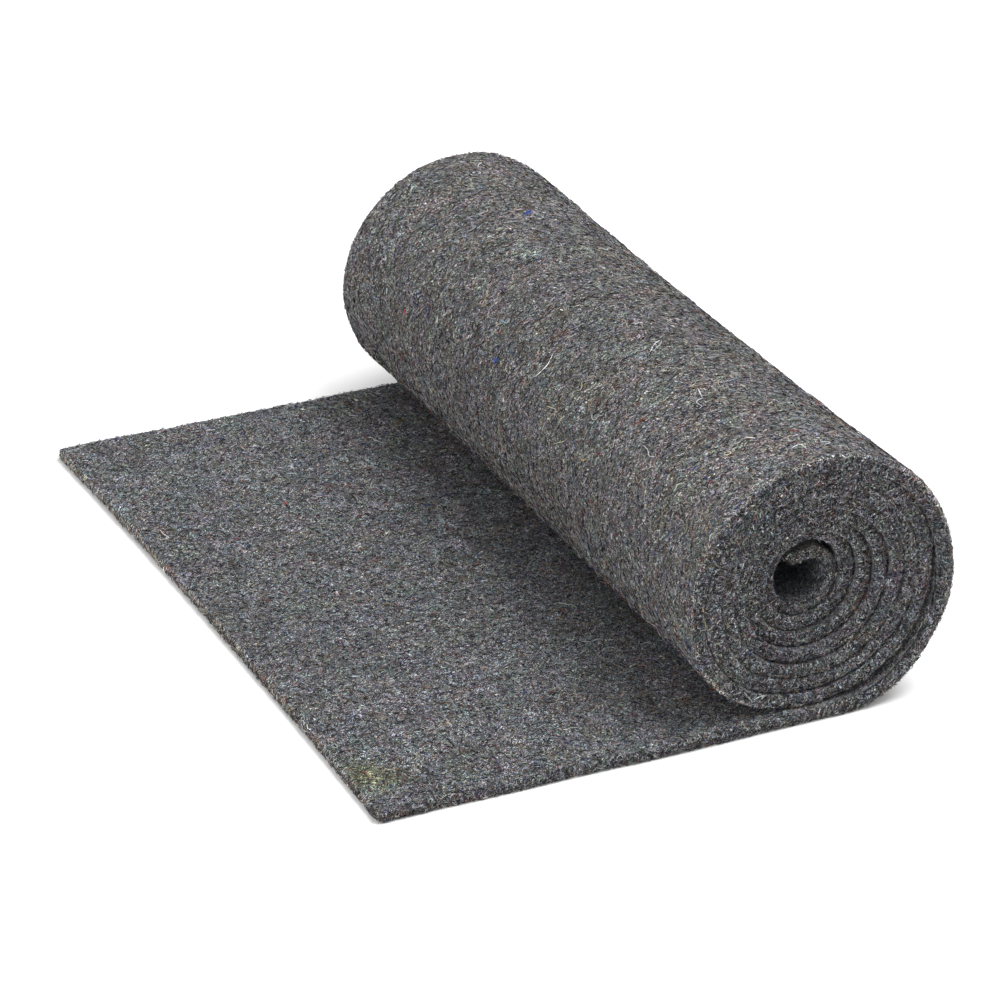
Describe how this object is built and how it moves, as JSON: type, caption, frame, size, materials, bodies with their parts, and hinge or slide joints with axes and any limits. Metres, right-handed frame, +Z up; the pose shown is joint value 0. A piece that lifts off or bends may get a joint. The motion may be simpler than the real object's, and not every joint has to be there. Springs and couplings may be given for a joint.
{
  "type": "felt roll",
  "caption": "Partly unrolled roll of thick grey fibre felt, its loose end lying flat and its core open; cut to pad, line or insulate.",
  "frame": {"origin": "on the floor, at the middle of the object's footprint", "axes": "+X from the loose edge towards the roll, Y along the roll with its dished end at -Y, +Z up"},
  "size_m": [0.364, 0.528, 0.1665],
  "materials": {
    "felt": "matte, fibrous, mixed greys with coloured flecks"
  },
  "bodies": {
    "root": {"felt_roll": "felt"}
  },
  "joints": []
}
